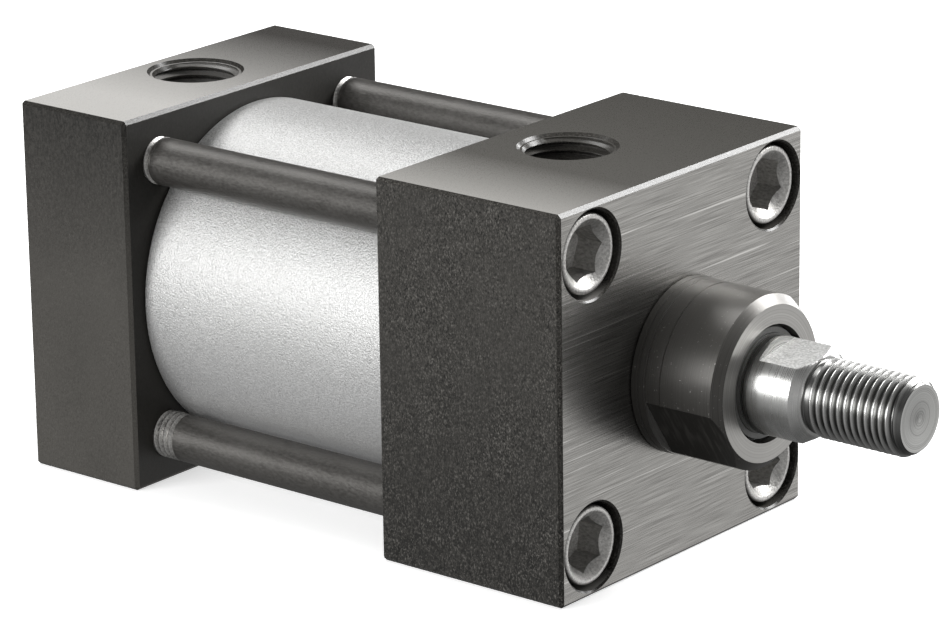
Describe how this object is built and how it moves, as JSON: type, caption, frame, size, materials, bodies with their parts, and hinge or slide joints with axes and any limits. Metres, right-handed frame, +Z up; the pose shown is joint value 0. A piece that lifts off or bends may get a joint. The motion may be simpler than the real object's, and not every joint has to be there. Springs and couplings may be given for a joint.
{
  "type": "pneumatic cylinder",
  "caption": "Square-ended tie-bolt pneumatic cylinder with a threaded piston rod, a round gland and a pipe port in the top of each end block.",
  "frame": {"origin": "centre of the head block's front face, on the rod's axis, which is the root of the gland's pilot collar", "axes": "+X along the rod, out of the cylinder; +Z up, the way both ports face; the rod is drawn fully in at rest"},
  "size_m": [0.1574, 0.0636, 0.0636],
  "materials": {
    "black_steel": "satin",
    "black_gland": "satin",
    "bright_tube": "satin",
    "polished_rod": "polished",
    "bolt_steel": "satin",
    "piston_metal": "satin",
    "nut_steel": "satin",
    "bronze": "satin",
    "seal_rubber": "matte",
    "wiper_grey": "matte",
    "band_plastic": "matte"
  },
  "bodies": {
    "barrel": {"head": "black_steel", "cap": "black_steel", "tube": "bright_tube", "gland": "black_gland", "rod_wiper": "wiper_grey", "tie_bolt_upper_left": "bolt_steel", "tie_bolt_lower_left": "bolt_steel", "tie_bolt_upper_right": "bolt_steel", "tie_bolt_lower_right": "bolt_steel", "rod_bush": "bronze", "rod_seal": "seal_rubber", "gland_o_ring": "seal_rubber", "head_tube_seal": "seal_rubber", "cap_tube_seal": "seal_rubber"},
    "piston_seals": {"front_piston_seal": "seal_rubber", "rear_piston_seal": "seal_rubber", "wear_band": "band_plastic"},
    "rod": {"piston": "piston_metal", "piston_rod": "polished_rod", "piston_nut": "nut_steel", "rod_o_ring": "seal_rubber", "front_bumper": "seal_rubber", "rear_bumper": "seal_rubber"}
  },
  "joints": [
    {"name": "rod_slide", "type": "slide", "parent": "barrel", "child": "piston_seals", "axis": [1, 0, 0], "range_m": [0, 0.0254]},
    {"name": "rod_turn", "type": "hinge", "parent": "piston_seals", "child": "rod", "pos_m": [0, 0, 0], "axis": [1, 0, 0], "continuous": true}
  ]
}
